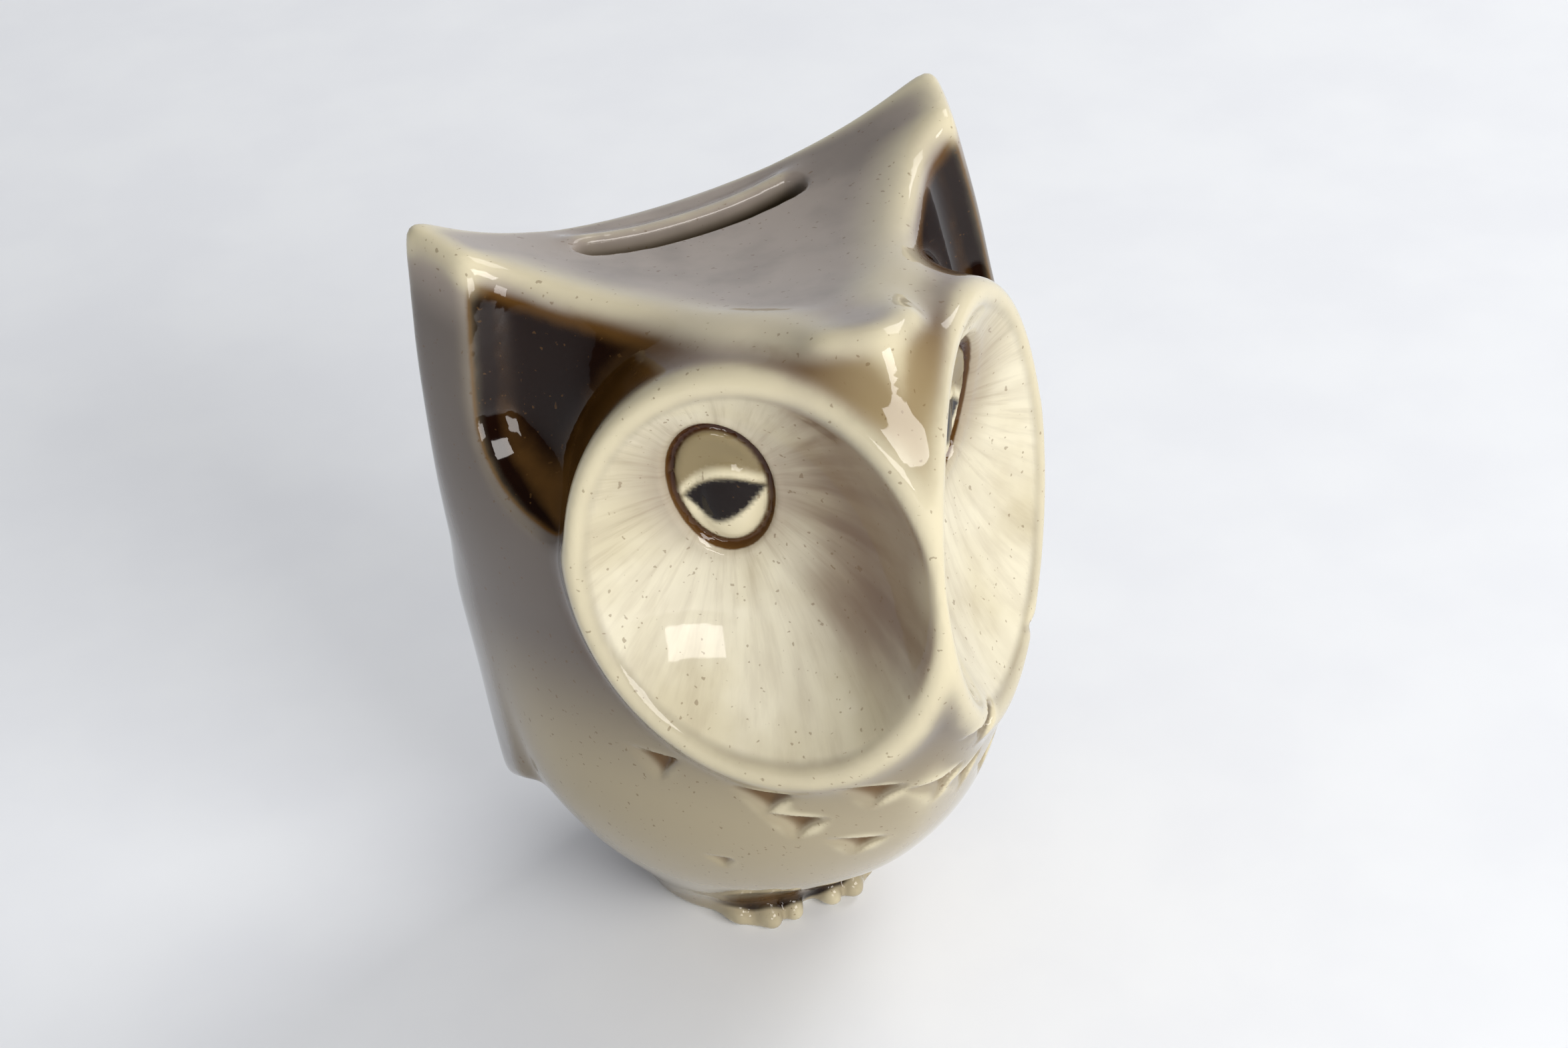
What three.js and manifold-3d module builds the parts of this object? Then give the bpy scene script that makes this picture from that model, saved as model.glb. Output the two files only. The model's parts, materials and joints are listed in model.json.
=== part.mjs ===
// Glazed ceramic owl coin bank with a round key-lock trap in its base.
// Units are millimetres, +Z is up, and the owl faces -Y.  The origin is the
// centre of the bounding box at the level of the foot ring.
import * as THREE from 'three';
import { mergeVertices, mergeGeometries } from 'three/addons/utils/BufferGeometryUtils.js';
import Module from 'manifold-3d';

const wasm = await Module();
wasm.setup();

// ---------------------------------------------------------------- dimensions
const FOOT_Y = 19.0; // y of the vertical axis that the body is drawn about
const PITCH = THREE.MathUtils.degToRad(4); // the drawn body is tipped back by this
const PITCH_Y = -20.5; // about a line through the toes
const WALL = 4.5; // ceramic wall
const FLOOR_TOP = 7.0; // top of the thick base that the trap locks into
const TOP_LOW = 113.3; // lowest point of the saddle between the ears
const EAR_RISE = 17.5; // ear above the saddle
const BROW_RISE = 8.0; // forehead corner above the saddle
const BACK_DROP = 2.0; // fall of the saddle towards the back

const DISC = { x: 19.3, y: -55.2, z: 85.2, ru: 25.9, rv: 29.5 }; // eye disc
const DISC_TURN = Math.PI / 4; // disc faces this far out to its side
const DISC_LEAN = 0.038; // and leans back by this angle
const DISH_DEPTH = 12.0;
const EYE = { u: 7.0, v: 11.0, n: -12.6, ru: 6.4, rv: 9.2, rn: 4.6 };
const SCOOP = { u: 28.0, v: 18.0, radius: 16.0, depth: 13.5 }; // facet outside an eye disc
const BROW_BULGE = 2.2; // forehead between the discs
const WING = { front: -4.0, back: 20.0, tipY: 9.0, tipZ: 24.0, slope: 0.6 };
const TOES = [ // x, y of the tip and half width
  [3.4, -21.0, 2.1],
  [6.9, -21.0, 2.3],
  [10.2, -17.6, 2.1],
];
const TOE = { reach: 6.4, rise: 3.6, z: 1.8 };
const PAD = { x: 6.6, y: -10.5, width: 6.4, reach: 9.0, rise: 6.5 }; // foot behind the toes

const SLOT = { length: 36, width: 4.6, y: 4.3, bottom: 98, top: 126 };

const TRAP_Y = 0.6; // lock axis, measured from the body axis
const REBATE = { r: 15.2, z: 3.0 }; // the cover plate sits up inside this
const HOLE_R = 12.8;
const PLATE = { r: 14.8, bottom: 1.4, top: 2.6, lip: 0.7, keyR: 2.2, slot: 2.0, reach: 4.7 };
const CASE = { r: 12.4, wall: 0.7, bottom: 2.75, top: 13.0, roof: 0.8 };
const WINDOW = { width: 7.6, bottom: 8.35, top: 10.75 };
const GUIDE = { r: 11.5, bottom: 8.5, top: 12.05, channel: 7.3, ceiling: 10.6 };
const POST = { r: 1.1, bottom: 2.9, top: 13.05, headR: 2.3, headTop: 13.75, clearance: 0.12 };
const CAM = { r: 8.6, bottom: 6.1, top: 7.6, hubR: 3.9, hubBottom: 3.75, bit: 1.5, bitReach: 3.4 };
const SPIRAL = { start: 3.6, stroke: 3.4, halfWidth: 0.98 };
const PIN = { r: 0.8, bottom: 6.3, top: 8.55 };
const BOLT = { width: 6.9, bottom: 8.65, top: 10.35, inner: 2.2, outer: 12.0 };
const WASHER = { inner: 3.0, outer: 4.5, bottom: 2.9, top: 3.45, wave: 0.12 };
const RIVET = { ring: 9.95, r: 0.75, headR: 1.35, bottom: 8.6, top: 13.1, headTop: 13.75 };
const RIVET_ANGLES = [60, 120, 240, 300];

const OUTER_DETAIL = 14; // subdivisions of the outer and the inner skin
const INNER_DETAIL = 8;
const SKIN_CENTRE = new THREE.Vector3(0, FOOT_Y - 16, 66);

// ------------------------------------------------------------- small helpers
function mix(a, b, t) {
  return a + (b - a) * t;
}

function clamp(value, low, high) {
  return Math.min(Math.max(value, low), high);
}

// Smooth minimum and maximum: fillets of size k where two surfaces meet.
function smoothMin(a, b, k) {
  const t = clamp(0.5 + (0.5 * (b - a)) / k, 0, 1);
  return mix(b, a, t) - k * t * (1 - t);
}

function smoothMax(a, b, k) {
  return -smoothMin(-a, -b, k);
}

// Smooth curve through (height, value) stations that never overshoots them.
function stationCurve(stations) {
  const xs = stations.map((s) => s[0]);
  const ys = stations.map((s) => s[1]);
  const last = xs.length - 1;
  const slope = (i) => (ys[i + 1] - ys[i]) / (xs[i + 1] - xs[i]);
  const tangents = xs.map((x, i) => {
    if (i === 0) return slope(0);
    if (i === last) return slope(last - 1);
    const before = slope(i - 1);
    const after = slope(i);
    return before * after <= 0 ? 0 : (2 * before * after) / (before + after);
  });
  return (x) => {
    if (x <= xs[0]) return ys[0];
    if (x >= xs[last]) return ys[last];
    const i = xs.findIndex((s) => s > x) - 1;
    const h = xs[i + 1] - xs[i];
    const t = (x - xs[i]) / h;
    const a = (1 + 2 * t) * (1 - t) ** 2 * ys[i];
    const b = t * (1 - t) ** 2 * h * tangents[i];
    const c = t * t * (3 - 2 * t) * ys[i + 1];
    const d = t * t * (t - 1) * h * tangents[i + 1];
    return a + b + c + d;
  };
}

// ------------------------------------------------------ shape of the ceramic
// Plan sections are two half superellipses, front and back, on the line y = centre.
const halfWidth = stationCurve([
  [-8, 17.6], [0, 17.6], [5, 19.4], [12, 24], [22, 31], [36, 37.5],
  [52, 40.5], [70, 42.6], [90, 44], [105, 43.6], [118, 42.6], [128, 41.8],
]);
const frontReach = stationCurve([
  [-8, 16.5], [0, 16.5], [5, 19.5], [12, 28.5], [24, 43.8], [40, 57.8],
  [56, 66], [80, 69.5], [101, 69], [112, 66], [126, 60],
]);
const backReach = stationCurve([
  [-8, 19.5], [0, 20.4], [5, 21.5], [14, 23], [28, 24.8], [50, 25.4],
  [75, 22.3], [100, 14], [116, 8], [128, 4],
]);
const sectionCentre = stationCurve([[0, 1], [12, -4], [40, -8], [80, -8], [105, -4], [125, -0.5]]);
const frontPower = stationCurve([[0, 2.1], [20, 1.8], [50, 1.5], [90, 1.45], [125, 1.3]]);
const backPower = stationCurve([[0, 2.1], [60, 2.4], [100, 2.0], [125, 1.5]]);

const wingWidth = stationCurve([[16, 37], [24, 38], [36, 39.2], [52, 40.2], [70, 41.6], [90, 42.6]]);

// Distance to the sections of this half width, reach to the back and squareness behind.
function sectionField(x, y, z, width, back, powerBehind) {
  const across = Math.sqrt(x * x + 0.5);
  const centre = sectionCentre(z);
  const isBack = y > centre;
  const reach = isBack ? back - centre : frontReach(z) + centre;
  const power = isBack ? powerBehind : frontPower(z);
  const sum = (across / width) ** power + (Math.abs(y - centre) / reach) ** power;
  const q = sum ** (1 / power) + 1e-9;
  return ((q - 1) * (Math.hypot(x, y - centre) + 1e-6) * 0.85) / q;
}

function bodyField(x, y, z) {
  return sectionField(x, y, z, halfWidth(z), backReach(z), backPower(z));
}

// Folded wings: the sides carried straight down to a stepped, slanting tip.
function wingField(x, y, z) {
  let d = sectionField(x, y, z, wingWidth(z), backReach(z) + 3, 3);
  d = smoothMax(d, (WING.tipZ - WING.slope * (y - WING.tipY) - z) * 0.86, 2);
  d = smoothMax(d, WING.front - y - 0.1 * (z - 32), 1.2);
  d = smoothMax(d, y - WING.back - 0.04 * (z - 20), 7);
  return smoothMax(d, (z - 80) * 0.6, 12);
}

// Saddle between the ears, rising to the forehead corner in front.
function topField(x, y, z) {
  const forward = clamp((-y - 2) / 56, -0.3, 1.1);
  const ears = EAR_RISE * (Math.abs(x) / 46) ** 2.2;
  const brow = BROW_RISE * Math.max(forward, 0) ** 1.8;
  const back = BACK_DROP * Math.max(-forward, 0);
  return (z - TOP_LOW - ears - brow + back) * 0.93;
}

// Coordinates of an eye disc: u outwards, v up and n out of the disc.
function discCoordinates(x, y, z) {
  const dx = Math.sqrt(x * x + 1.5) - DISC.x;
  const dy = y - DISC.y;
  const dz = z - DISC.z;
  const u = dx * Math.cos(DISC_TURN) + dy * Math.sin(DISC_TURN);
  const out = dx * Math.sin(DISC_TURN) - dy * Math.cos(DISC_TURN);
  const v = dz * Math.cos(DISC_LEAN) - out * Math.sin(DISC_LEAN);
  const flat = out * Math.cos(DISC_LEAN) + dz * Math.sin(DISC_LEAN);
  const n = flat + 1.2 * (u / DISC.ru) ** 2 + 1.7 * (v / DISC.rv) ** 2;
  return { u, v, n };
}

function smoothStep(value) {
  const t = clamp(value, 0, 1);
  return t * t * (3 - 2 * t);
}

// The plane of the disc, with a scooped facet outside it and a full brow between the discs.
function faceField(u, v, n, outside) {
  const past = Math.max(outside, 0);
  const corner = Math.hypot(Math.max(u - SCOOP.u, 0), Math.min(v - SCOOP.v, 0));
  const inset = Math.max(SCOOP.radius - corner + 0.8, 0);
  const scoop = SCOOP.depth * (1 - Math.exp(-inset / 2.5)) * (1 - Math.exp(-past / 3));
  const between = smoothStep((-u - 6) / 10) * smoothStep((v - 1) / 8);
  const brow = BROW_BULGE * between * smoothStep((outside - 0.8) / 3.5);
  return (n + scoop * smoothStep((u + 14) / 16) - brow) * 0.7;
}

function dishField(u, v, n) {
  const rim = 26;
  const radius = (rim * rim + DISH_DEPTH * DISH_DEPTH) / (2 * DISH_DEPTH);
  const narrower = 1 + 0.035 * smoothStep(-u / 20);
  const scaledU = (u * rim * narrower) / DISC.ru;
  const scaledV = (v * rim) / DISC.rv;
  return radius - Math.hypot(scaledU, scaledV, n - (radius - DISH_DEPTH) - 0.3);
}

function eyeField(u, v, n) {
  const r = Math.hypot((u - EYE.u) / EYE.ru, (v - EYE.v) / EYE.rv, (n - EYE.n) / EYE.rn);
  return (r - 1) * 5;
}

// Negative inside the owl, positive outside, and close to a distance near the skin.
function owlField(x, worldY, worldZ) {
  const back = worldY - FOOT_Y - PITCH_Y;
  const y = back * Math.cos(PITCH) - worldZ * Math.sin(PITCH) + PITCH_Y;
  const z = worldZ * Math.cos(PITCH) + back * Math.sin(PITCH);
  const { u, v, n } = discCoordinates(x, y, z);
  const outside = (Math.hypot(u / DISC.ru, v / DISC.rv) - 1) * 26;
  const top = topField(x, y, z);
  let d = smoothMin(bodyField(x, y, z), wingField(x, y, z), 2.2);
  d = smoothMax(d, faceField(u, v, n, outside), 2.6);
  d = smoothMax(d, top, 3);
  const puck = smoothMax(outside - 2.4, Math.abs(n + 6.6) - 7, 3.5);
  d = smoothMin(d, smoothMax(puck, top + 1.5, 2), 4);
  d = smoothMax(d, dishField(u, v, n), 1.8);
  d = smoothMin(d, eyeField(u, v, n), 0.8);
  return smoothMax(d, -worldZ, 1.2);
}

function cavityField(x, y, z) {
  return smoothMax(owlField(x, y, z) + WALL, FLOOR_TOP - z, 1);
}

// ------------------------------------------------------------ solid helpers
function toSolid(geometry) {
  const bare = geometry.clone();
  for (const name of Object.keys(bare.attributes)) {
    if (name !== 'position') bare.deleteAttribute(name);
  }
  const merged = mergeVertices(bare, 1e-4);
  return new wasm.Manifold(new wasm.Mesh({
    numProp: 3,
    vertProperties: new Float32Array(merged.attributes.position.array),
    triVerts: new Uint32Array(merged.index.array),
  }));
}

function toGeometry(solid) {
  const mesh = solid.getMesh();
  const geometry = new THREE.BufferGeometry();
  geometry.setAttribute('position', new THREE.BufferAttribute(mesh.vertProperties, 3));
  geometry.setIndex(new THREE.BufferAttribute(mesh.triVerts, 1));
  const flat = geometry.toNonIndexed();
  flat.computeVertexNormals();
  return flat;
}

function cut(base, ...tools) {
  return tools.reduce((solid, tool) => solid.subtract(toSolid(tool)), base);
}

// Moves the corners of a fine icosphere out from a centre until they meet a field's zero.
function skin(field, detail) {
  const geometry = new THREE.IcosahedronGeometry(1, detail);
  const position = geometry.attributes.position;
  const ray = new THREE.Vector3();
  for (let i = 0; i < position.count; i += 1) {
    ray.fromBufferAttribute(position, i).normalize();
    let near = 0;
    let far = 140;
    for (let step = 0; step < 40; step += 1) {
      const middle = (near + far) / 2;
      const point = ray.clone().multiplyScalar(middle).add(SKIN_CENTRE);
      if (field(point.x, point.y, point.z) < 0) near = middle;
      else far = middle;
    }
    ray.multiplyScalar(near).add(SKIN_CENTRE);
    position.setXYZ(i, ray.x, ray.y, ray.z);
  }
  return geometry;
}

function lathe(points, segments = 40) {
  const profile = points.map(([r, z]) => new THREE.Vector2(r, z));
  return new THREE.LatheGeometry(profile, segments).rotateX(Math.PI / 2);
}

function disc(r, bottom, top, segments = 40) {
  return lathe([[0, bottom], [r, bottom], [r, top], [0, top]], segments);
}

function ring(inner, outer, bottom, top, segments = 40) {
  const points = [[inner, bottom], [outer, bottom], [outer, top], [inner, top], [inner, bottom]];
  return lathe(points, segments);
}

function block(width, depth, bottom, top, x = 0, y = 0) {
  const box = new THREE.BoxGeometry(width, depth, top - bottom);
  return box.translate(x, y, (top + bottom) / 2);
}

function ringPoint(radius, degrees) {
  const angle = THREE.MathUtils.degToRad(degrees);
  return [radius * Math.cos(angle), radius * Math.sin(angle)];
}

// ------------------------------------------------------------------- pieces
function toe(x, tip, width) {
  const geometry = new THREE.IcosahedronGeometry(1, 3);
  return geometry.scale(width, TOE.reach, TOE.rise).translate(x, tip + TOE.reach + FOOT_Y, TOE.z);
}

function footPad(side) {
  const geometry = new THREE.IcosahedronGeometry(1, 3);
  geometry.scale(PAD.width, PAD.reach, PAD.rise);
  return geometry.translate(side * PAD.x, PAD.y + FOOT_Y, 0);
}

function coinSlotCutter() {
  const half = SLOT.length / 2 - SLOT.width / 2;
  const shape = new THREE.Shape();
  shape.absarc(half, 0, SLOT.width / 2, -Math.PI / 2, Math.PI / 2);
  shape.absarc(-half, 0, SLOT.width / 2, Math.PI / 2, (3 * Math.PI) / 2);
  const depth = SLOT.top - SLOT.bottom;
  const slot = new THREE.ExtrudeGeometry(shape, { depth, bevelEnabled: false, curveSegments: 6 });
  return slot.translate(0, SLOT.y + FOOT_Y, SLOT.bottom);
}

function ceramicBody() {
  const trapY = TRAP_Y + FOOT_Y;
  let solid = toSolid(skin(owlField, OUTER_DETAIL));
  for (const side of [-1, 1]) {
    solid = solid.add(toSolid(footPad(side)));
    for (const [x, tip, width] of TOES) {
      solid = solid.add(toSolid(toe(side * x, tip, width)));
    }
  }
  solid = solid.subtract(toSolid(skin(cavityField, INNER_DETAIL)));
  const rebate = disc(REBATE.r, -2, REBATE.z, 48).translate(0, trapY, 0);
  const hole = disc(HOLE_R, -2, FLOOR_TOP + 2, 48).translate(0, trapY, 0);
  return toGeometry(cut(solid, coinSlotCutter(), rebate, hole, block(120, 160, -10, 0)));
}

function keyhole(bottom, top) {
  const hole = toSolid(disc(PLATE.keyR, bottom, top, 28));
  const slot = block(PLATE.slot, PLATE.reach, bottom, top, 0, -PLATE.reach / 2);
  return hole.add(toSolid(slot));
}

function coverPlate() {
  const { r, bottom, top, lip } = PLATE;
  const profile = [
    [0, bottom + 0.3], [r - 3, bottom + 0.3], [r - 2.2, bottom], [r - lip, bottom],
    [r, bottom + lip], [r, top], [0, top],
  ];
  return toGeometry(toSolid(lathe(profile, 56)).subtract(keyhole(bottom - 1, top + 1)));
}

function lockCase() {
  const { r, wall, bottom, top, roof } = CASE;
  const profile = [
    [0, top - roof], [r - wall, top - roof], [r - wall, bottom],
    [r, bottom], [r, top - 0.8], [r - 0.8, top], [0, top],
  ];
  const cup = toSolid(lathe(profile, 48));
  const holes = RIVET_ANGLES.map((angle) => {
    const [x, y] = ringPoint(RIVET.ring, angle);
    return disc(RIVET.r + 0.1, top - 2, top + 1, 14).translate(x, y, 0);
  });
  const windows = block(2 * r + 2, WINDOW.width, WINDOW.bottom, WINDOW.top);
  const postHole = disc(POST.r + POST.clearance, top - 2, top + 1, 20);
  return toGeometry(cut(cup, windows, postHole, ...holes));
}

function boltGuide() {
  const { r, bottom, top, channel, ceiling } = GUIDE;
  const holes = RIVET_ANGLES.map((angle) => {
    const [x, y] = ringPoint(RIVET.ring, angle);
    return disc(RIVET.r + 0.1, bottom - 1, top + 1, 14).translate(x, y, 0);
  });
  const slide = block(2 * r + 2, channel, bottom - 1, ceiling);
  const postHole = disc(POST.r + POST.clearance, bottom - 1, top + 1, 20);
  return toGeometry(cut(toSolid(disc(r, bottom, top, 40)), slide, postHole, ...holes));
}

function keyPost() {
  const { r, bottom, top, headR, headTop } = POST;
  return lathe([
    [0, bottom], [r - 0.3, bottom], [r, bottom + 0.3], [r, top],
    [headR, top], [headR, headTop - 0.3], [headR - 0.5, headTop], [0, headTop],
  ], 20);
}

// Radius of a bolt pin's centre when the cam has turned by an angle in radians.
function spiralRadius(angle) {
  return SPIRAL.start + (SPIRAL.stroke * angle) / (Math.PI / 2);
}

// Curved slot in the cam that pushes one pin outwards through a quarter turn.
function spiralSlot(startAngle, bottom, top) {
  const steps = 14;
  const outer = [];
  const inner = [];
  for (let i = 0; i <= steps; i += 1) {
    const turn = ((Math.PI / 2) * i) / steps;
    const angle = startAngle - turn;
    const r = spiralRadius(turn);
    outer.push([(r + SPIRAL.halfWidth) * Math.cos(angle), (r + SPIRAL.halfWidth) * Math.sin(angle)]);
    inner.push([(r - SPIRAL.halfWidth) * Math.cos(angle), (r - SPIRAL.halfWidth) * Math.sin(angle)]);
  }
  const shape = new THREE.Shape();
  [...outer, ...inner.reverse()].forEach(([x, y], i) => (i ? shape.lineTo(x, y) : shape.moveTo(x, y)));
  const band = new THREE.ExtrudeGeometry(shape, { depth: top - bottom, bevelEnabled: false });
  return toSolid(band.translate(0, 0, bottom))
    .add(toSolid(slotEnd(startAngle, 0, bottom, top)))
    .add(toSolid(slotEnd(startAngle, Math.PI / 2, bottom, top)));
}

function slotEnd(startAngle, turn, bottom, top) {
  const r = spiralRadius(turn);
  const angle = startAngle - turn;
  return disc(SPIRAL.halfWidth, bottom, top, 18).translate(r * Math.cos(angle), r * Math.sin(angle), 0);
}

function scrollCam() {
  const { r, bottom, top, hubR, hubBottom, bit, bitReach } = CAM;
  const profile = [
    [0, hubBottom], [hubR - 0.3, hubBottom], [hubR, hubBottom + 0.3], [hubR, bottom],
    [r, bottom], [r, top], [0, top],
  ];
  const bore = disc(POST.r + POST.clearance, hubBottom - 1, top + 1, 20);
  const bitSlot = block(bit, bitReach, hubBottom - 1, bottom - 0.4, 0, -bitReach / 2);
  let cam = cut(toSolid(lathe(profile, 44)), bore, bitSlot);
  for (const startAngle of [0, Math.PI]) {
    cam = cam.subtract(spiralSlot(startAngle, bottom - 3, top + 1));
  }
  return toGeometry(cam);
}

function waveWasher() {
  const { inner, outer, bottom, top, wave } = WASHER;
  const geometry = ring(inner, outer, bottom + wave, top - wave, 30);
  const position = geometry.attributes.position;
  for (let i = 0; i < position.count; i += 1) {
    const angle = Math.atan2(position.getY(i), position.getX(i));
    position.setZ(i, position.getZ(i) + wave * Math.cos(3 * angle));
  }
  return geometry;
}

// A bolt with a rounded nose, drawn for the +X side in its drawn-back place.
function bolt() {
  const { width, bottom, top, inner, outer } = BOLT;
  const half = width / 2;
  const nose = 1.6;
  const shape = new THREE.Shape();
  shape.moveTo(inner, -half);
  shape.lineTo(outer - nose, -half);
  shape.quadraticCurveTo(outer, -half, outer, -half + nose);
  shape.lineTo(outer, half - nose);
  shape.quadraticCurveTo(outer, half, outer - nose, half);
  shape.lineTo(inner, half);
  const options = { depth: top - bottom, bevelEnabled: false, curveSegments: 6 };
  const plate = new THREE.ExtrudeGeometry(shape, options).translate(0, 0, bottom);
  const pinSeat = disc(PIN.r + 0.05, bottom - 1, top + 1, 18).translate(SPIRAL.start, 0, 0);
  return toGeometry(cut(toSolid(plate), pinSeat));
}

function boltPin() {
  const { r, bottom, top } = PIN;
  const profile = [[0, bottom], [r - 0.2, bottom], [r, bottom + 0.2], [r, top + 1.6], [0, top + 1.6]];
  return lathe(profile, 18).translate(SPIRAL.start, 0, 0);
}

function caseRivet(angle) {
  const { ring: radius, r, headR, bottom, top, headTop } = RIVET;
  const [x, y] = ringPoint(radius, angle);
  return lathe([
    [0, bottom], [r, bottom], [r, top], [headR, top], [headR, headTop - 0.3],
    [headR - 0.4, headTop], [0, headTop],
  ], 14).translate(x, y, 0);
}

// ----------------------------------------------------------------- assembly
const FINISH = {
  glaze: { color: 0x9a8f78, roughness: 0.12, metalness: 0 },
  plate: { color: 0xb9b6ae, roughness: 0.35, metalness: 1 },
  brass: { color: 0xb08d4a, roughness: 0.35, metalness: 1 },
  steel: { color: 0x8d8f92, roughness: 0.4, metalness: 1 },
};

function piece(name, geometry, finish, parent) {
  const mesh = new THREE.Mesh(geometry, new THREE.MeshStandardMaterial(FINISH[finish]));
  mesh.name = name;
  parent.add(mesh);
  return mesh;
}

const group = new THREE.Group();
piece('ceramic_body', ceramicBody(), 'glaze', group);

const trap = new THREE.Group();
trap.position.set(0, TRAP_Y + FOOT_Y, 0);
group.add(trap);
piece('cover_plate', coverPlate(), 'plate', trap);
piece('lock_case', lockCase(), 'plate', trap);
piece('bolt_guide', boltGuide(), 'brass', trap);
piece('key_post', keyPost(), 'steel', trap);
piece('scroll_cam', scrollCam(), 'brass', trap);
piece('wave_washer', waveWasher(), 'steel', trap);
piece('bolt_right', bolt(), 'steel', trap);
piece('bolt_pin_right', boltPin(), 'steel', trap);
piece('bolt_left', bolt().rotateZ(Math.PI), 'steel', trap);
piece('bolt_pin_left', boltPin().rotateZ(Math.PI), 'steel', trap);
RIVET_ANGLES.forEach((angle, i) => {
  piece(`case_rivet_${i + 1}`, caseRivet(angle), 'brass', trap);
});

export default group;
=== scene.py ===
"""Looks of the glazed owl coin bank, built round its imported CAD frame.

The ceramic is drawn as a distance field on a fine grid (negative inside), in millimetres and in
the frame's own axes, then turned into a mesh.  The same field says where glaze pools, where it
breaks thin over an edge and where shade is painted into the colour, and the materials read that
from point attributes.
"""
import json
import math
import bmesh
import bpy
import numpy as np
import openvdb
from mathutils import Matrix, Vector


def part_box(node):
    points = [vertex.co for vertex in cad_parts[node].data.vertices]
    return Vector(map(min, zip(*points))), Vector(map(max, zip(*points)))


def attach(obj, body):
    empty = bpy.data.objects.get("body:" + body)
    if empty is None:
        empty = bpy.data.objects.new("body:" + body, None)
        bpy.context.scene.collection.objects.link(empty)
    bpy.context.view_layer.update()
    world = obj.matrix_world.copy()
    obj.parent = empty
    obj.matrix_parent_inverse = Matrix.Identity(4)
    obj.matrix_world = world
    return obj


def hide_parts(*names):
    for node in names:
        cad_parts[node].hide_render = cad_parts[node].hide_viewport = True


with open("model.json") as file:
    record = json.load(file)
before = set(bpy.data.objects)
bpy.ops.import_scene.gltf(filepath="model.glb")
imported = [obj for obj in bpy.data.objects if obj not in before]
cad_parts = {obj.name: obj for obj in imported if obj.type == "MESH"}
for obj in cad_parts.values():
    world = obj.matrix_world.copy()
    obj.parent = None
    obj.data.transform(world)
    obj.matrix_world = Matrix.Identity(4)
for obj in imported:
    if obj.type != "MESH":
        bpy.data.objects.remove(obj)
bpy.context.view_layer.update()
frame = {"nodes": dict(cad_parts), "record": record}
MM = 0.001

# ------------------------------------------------------------------ driving dimensions (mm)
CELL = 0.55                      # grid step of the ceramic's field
BODY_Y = 19.0                    # y of the axis that the body is drawn about
PITCH = math.radians(4)          # the drawn body is tipped back by this
PITCH_Y = -20.5                  # about a line through the toes
WALL = 4.5
FLOOR_TOP = 7.0
TOP_LOW, EAR_RISE, BROW_RISE, BACK_DROP = 113.3, 17.5, 8.0, 2.0
DISC = dict(x=19.3, y=-55.2, z=85.2, ru=25.9, rv=29.5)
DISC_TURN = math.radians(45)
DISC_LEAN = 0.038
DISH_DEPTH = 12.0
EYE = dict(u=7.0, v=11.0, n=-13.0, ru=5.9, rv=9.2, rn=4.6)
SLOT = dict(length=36.0, width=4.6, y=-3.6)
SCOOP = dict(u=28.0, v=18.0, radius=16.0, depth=13.5)
TRAP_Y = 0.6
REBATE_R, REBATE_Z, HOLE_R = 15.2, 3.0, 12.8

HALF_WIDTH = [(-8, 17.6), (0, 17.6), (5, 19.4), (12, 24), (22, 31), (36, 37.5),
              (52, 40.5), (70, 42.6), (90, 44), (105, 43.6), (118, 42.6), (128, 41.8)]
FRONT = [(-8, 16.5), (0, 16.5), (5, 19.5), (12, 28.5), (24, 43.8), (40, 57.8),
         (56, 66), (80, 69.5), (101, 69), (112, 66), (126, 60)]
BACK = [(-8, 19.5), (0, 20.4), (5, 21.5), (14, 23), (28, 24.8), (50, 25.4),
        (75, 22.3), (100, 14), (116, 8), (128, 4)]
CENTRE = [(0, 1), (12, -4), (40, -8), (80, -8), (105, -4), (125, -0.5)]
FRONT_POWER = [(0, 2.1), (20, 1.8), (50, 1.5), (90, 1.45), (125, 1.3)]
BACK_POWER = [(0, 2.1), (60, 2.4), (100, 2.0), (125, 1.5)]
WING_WIDTH = [(16, 37.0), (24, 38.0), (36, 39.2), (52, 40.2), (70, 41.6), (90, 42.6)]
WING_FRONT, WING_BACK = -4.0, 20.0
TOES = [(3.4, -21.0, 2.5), (7.2, -21.0, 2.7), (11.0, -17.6, 2.4)]   # x, y of the tip, half width
# feather notches: turn about the body's axis from straight ahead (degrees), height, size
NOTCHES = [(-42, 51, 1.0), (-23, 48, 1.0), (-18.5, 43, 1.0), (-8, 51, 0.9), (-9, 38, 0.9),
           (1, 50, 0.9), (7.5, 47, 0.9), (8, 57, 0.9), (-33, 31, 0.6), (24, 50, 1.0), (19, 41, 1.0),
           (36, 56, 1.0), (42, 46, 1.0), (32, 33, 0.7), (52, 58, 1.0)]

# stage, in metres and degrees; an azimuth of 0 is straight ahead of the owl
CAMERA = dict(azimuth=-25.08, elevation=34.74, roll=-4.22, distance=0.4579, lens=72,
              target=(0.00235, 0.00514, 0.07015))
LIT_POINT = (0.0, 0.0, 0.07)
WINDOWS = [  # name, azimuth, elevation, distance, size, power
    ("window_right", 14, 27, 1.2, (0.70, 0.34), 10.0),
    ("window_left", -25, 7, 1.2, (0.50, 0.24), 4.0),
    ("window_high", 100, 42, 1.5, (0.8, 0.8), 10.0)]
PAPER = dict(turn=-25, half_width=2.2, near=-1.2, flat_to=0.9, curve=0.5, top=1.6)


# ------------------------------------------------------------------ field helpers
def smooth_min(a, b, k):
    t = np.clip(0.5 + 0.5 * (b - a) / k, 0, 1)
    return b + (a - b) * t - k * t * (1 - t)


def smooth_max(a, b, k):
    return -smooth_min(-a, -b, k)


def smooth_step(t):
    t = np.clip(t, 0, 1)
    return t * t * (3 - 2 * t)


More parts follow.
